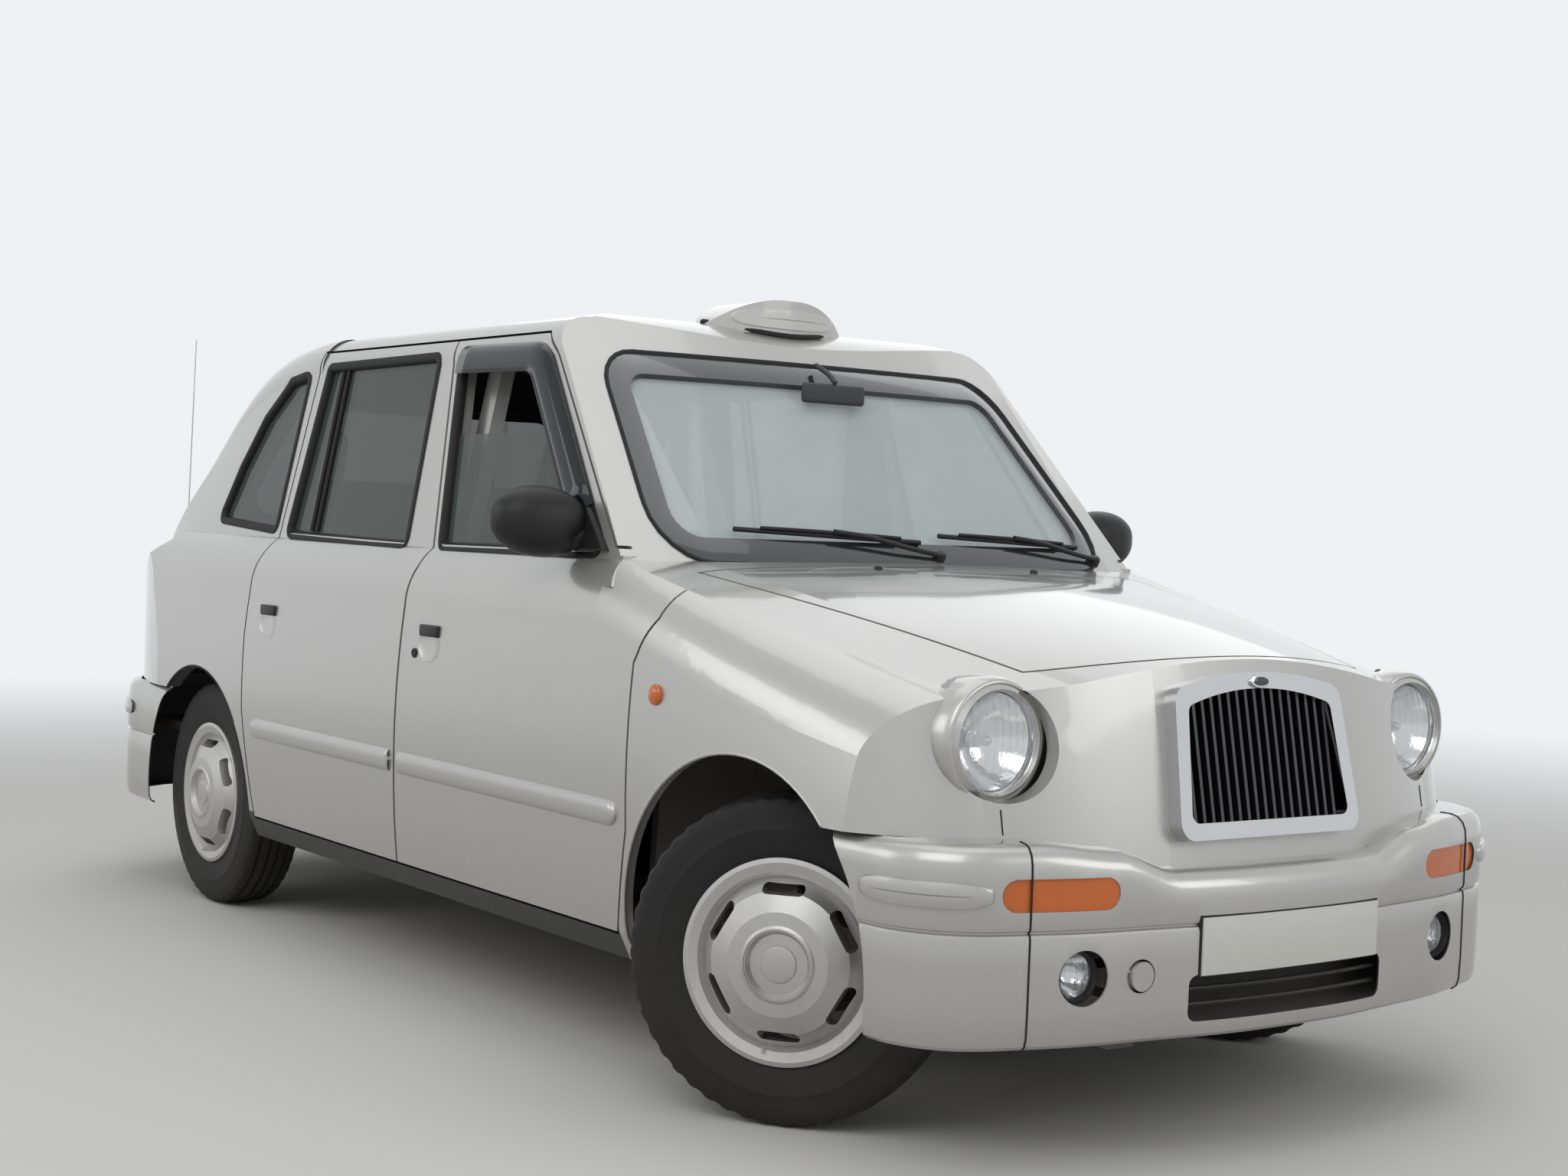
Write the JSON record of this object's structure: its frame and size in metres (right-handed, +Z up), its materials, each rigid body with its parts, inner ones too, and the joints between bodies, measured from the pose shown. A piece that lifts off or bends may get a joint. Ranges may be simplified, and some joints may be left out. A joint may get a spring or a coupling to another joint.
{
  "type": "taxi cab",
  "caption": "Four-door taxi cab with a tall rounded cabin, upright slatted grille, round headlamps, roof sign, partitioned cab and steered front wheels.",
  "frame": {"origin": "on the ground under the middle of the overall box", "axes": "+X towards the front of the car, +Y to its left, +Z up"},
  "size_m": [4.575, 2.04, 1.8386],
  "materials": {
    "silver_paint": "glossy",
    "tyre_rubber": "matte",
    "wheel_steel": "satin",
    "suspension_iron": "matte",
    "dark_chassis": "matte",
    "tinted_glass": "glossy",
    "lamp_glass": "glossy",
    "amber_lens": "glossy",
    "red_lens": "glossy",
    "grille_chrome": "glossy",
    "black_plastic": "matte",
    "cabin_plastic": "matte",
    "seat_cloth": "matte",
    "sign_plastic": "glossy"
  },
  "bodies": {
    "body": {"centre_posts": "dark_chassis", "chassis_frame": "dark_chassis", "cowl_and_pillars": "silver_paint", "dashboard": "cabin_plastic", "driver_seat": "seat_cloth", "engine_block": "dark_chassis", "fixed_glass": "tinted_glass", "floor_pan": "dark_chassis", "fog_lamps": "lamp_glass", "folding_seats": "seat_cloth", "front_arms": "suspension_iron", "front_bumper": "silver_paint", "front_wings": "silver_paint", "grille_slats": "black_plastic", "grille_surround": "grille_chrome", "headlamp_rings": "silver_paint", "headlamps": "lamp_glass", "indicator_lamps": "amber_lens", "partition": "dark_chassis", "rear_axle": "suspension_iron", "rear_bench": "seat_cloth", "rear_body": "silver_paint", "rear_bumper": "silver_paint", "rear_lamps": "red_lens", "roof_panel": "silver_paint", "roof_sign": "sign_plastic", "sills": "black_plastic", "steering_wheel": "cabin_plastic"},
    "front_left_door": {"front_left_door": "silver_paint", "front_left_glass": "tinted_glass", "left_mirror": "black_plastic"},
    "front_right_door": {"front_right_door": "silver_paint", "front_right_glass": "tinted_glass", "right_mirror": "black_plastic"},
    "rear_left_door": {"rear_left_door": "silver_paint", "rear_left_glass": "tinted_glass"},
    "rear_right_door": {"rear_right_door": "silver_paint", "rear_right_glass": "tinted_glass"},
    "bonnet": {"bonnet": "silver_paint"},
    "boot_lid": {"boot_lid": "silver_paint"},
    "left_knuckle": {"front_left_knuckle": "suspension_iron"},
    "right_knuckle": {"front_right_knuckle": "suspension_iron"},
    "front_left_wheel": {"front_left_rim": "wheel_steel", "front_left_tyre": "tyre_rubber"},
    "front_right_wheel": {"front_right_rim": "wheel_steel", "front_right_tyre": "tyre_rubber"},
    "rear_left_wheel": {"rear_left_rim": "wheel_steel", "rear_left_tyre": "tyre_rubber"},
    "rear_right_wheel": {"rear_right_rim": "wheel_steel", "rear_right_tyre": "tyre_rubber"}
  },
  "joints": [
    {"name": "steer_left", "type": "hinge", "parent": "body", "child": "left_knuckle", "pos_m": [1.5075, 0.646, 0.345], "axis": [0, 0, 1], "range_deg": [-86, 14]},
    {"name": "steer_right", "type": "hinge", "parent": "body", "child": "right_knuckle", "pos_m": [1.5075, -0.646, 0.345], "axis": [0, 0, 1], "range_deg": [-86, 14]},
    {"name": "front_left_roll", "type": "hinge", "parent": "left_knuckle", "child": "front_left_wheel", "pos_m": [1.5075, 0.646, 0.345], "axis": [-0.5878, 0.809, 0], "continuous": true},
    {"name": "front_right_roll", "type": "hinge", "parent": "right_knuckle", "child": "front_right_wheel", "pos_m": [1.5075, -0.646, 0.345], "axis": [-0.5878, 0.809, 0], "continuous": true},
    {"name": "rear_left_roll", "type": "hinge", "parent": "body", "child": "rear_left_wheel", "pos_m": [-1.3785, 0.752, 0.345], "axis": [0, 1, 0], "continuous": true},
    {"name": "rear_right_roll", "type": "hinge", "parent": "body", "child": "rear_right_wheel", "pos_m": [-1.3785, -0.752, 0.345], "axis": [0, 1, 0], "continuous": true},
    {"name": "front_left_door_swing", "type": "hinge", "parent": "body", "child": "front_left_door", "pos_m": [1.206, 0.896, 0.75], "axis": [0, 0, -1], "range_deg": [0, 65]},
    {"name": "front_right_door_swing", "type": "hinge", "parent": "body", "child": "front_right_door", "pos_m": [1.206, -0.896, 0.75], "axis": [0, 0, 1], "range_deg": [0, 65]},
    {"name": "rear_left_door_swing", "type": "hinge", "parent": "body", "child": "rear_left_door", "pos_m": [0.048, 0.896, 0.75], "axis": [0, 0, -1], "range_deg": [0, 65]},
    {"name": "rear_right_door_swing", "type": "hinge", "parent": "body", "child": "rear_right_door", "pos_m": [0.048, -0.896, 0.75], "axis": [0, 0, 1], "range_deg": [0, 65]},
    {"name": "bonnet_lift", "type": "hinge", "parent": "body", "child": "bonnet", "pos_m": [1.08, 0, 1.168], "axis": [0, -1, 0], "range_deg": [0, 60]},
    {"name": "boot_lid_lift", "type": "hinge", "parent": "body", "child": "boot_lid", "pos_m": [-1.945, 0, 1.055], "axis": [0, 1, 0], "range_deg": [0, 80]}
  ],
  "couplings": [
    {"joint": "steer_right", "follows": "steer_left", "ratio": 1}
  ]
}
